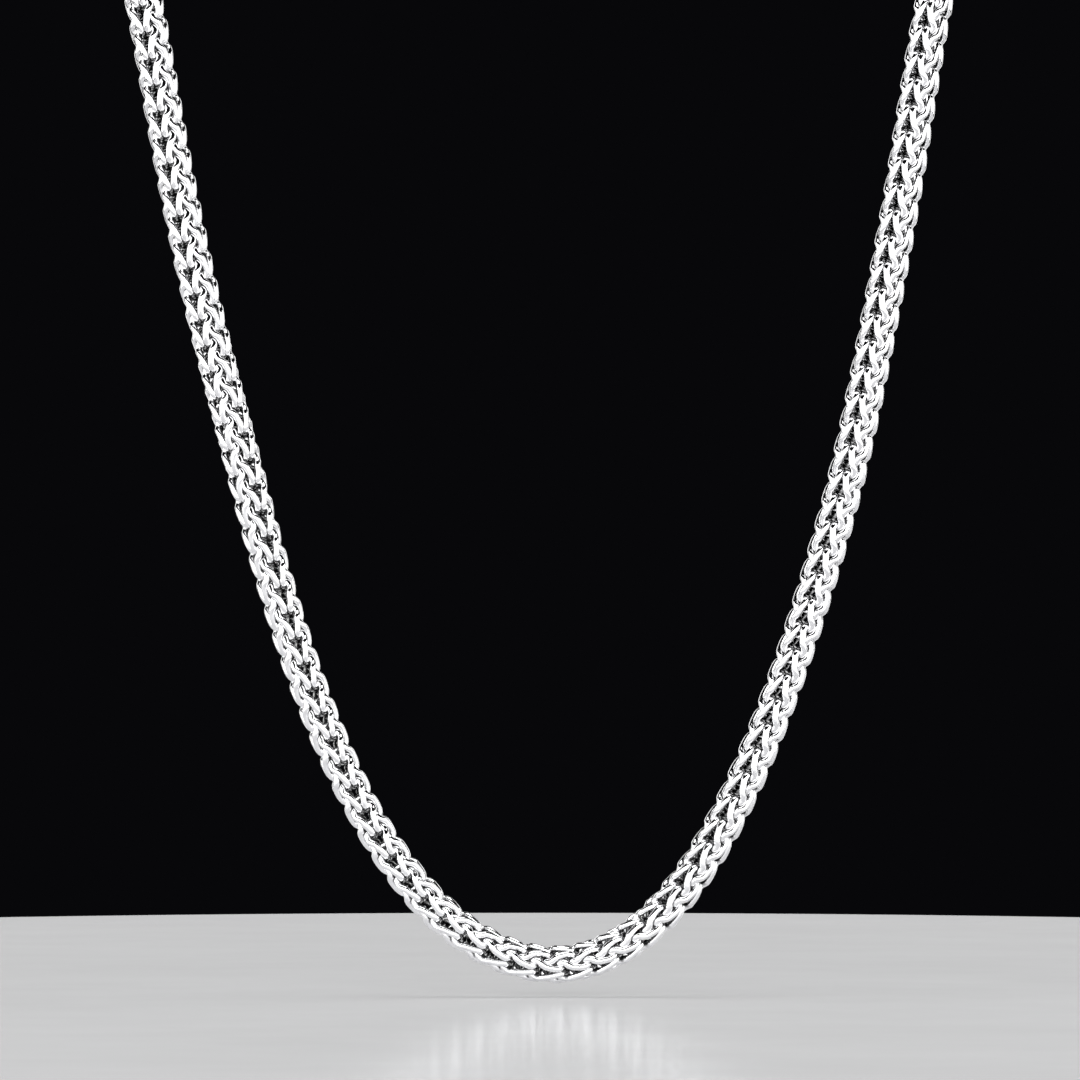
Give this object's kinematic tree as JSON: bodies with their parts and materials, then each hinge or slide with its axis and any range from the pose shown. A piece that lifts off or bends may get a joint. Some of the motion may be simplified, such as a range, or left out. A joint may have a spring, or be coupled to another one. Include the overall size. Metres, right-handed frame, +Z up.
{
  "type": "wheat chain necklace",
  "caption": "Necklace of closely interlocked pinched wire loops in two crossed rows, worn round the neck in a deep U and closed at the nape by a looped clasp on two jump rings.",
  "frame": {"origin": "the place at the nape of the neck that the clasp and its rings lie against", "axes": "+Z up, from the lowest point of the chain towards the nape; +X to the right as seen from the front; -Y forwards, so the front of the chain hangs in a plane that faces -Y"},
  "size_m": [0.1164, 0.1016, 0.1698],
  "materials": {
    "links": "mirror-polished stainless steel wire",
    "fittings": "polished stainless steel"
  },
  "bodies": {
    "root": {"chain_left": "links", "chain_right": "links", "end_cup_left": "fittings", "end_cup_right": "fittings", "clasp_ring_left": "fittings", "clasp_ring_right": "fittings", "clasp": "fittings"}
  },
  "joints": []
}
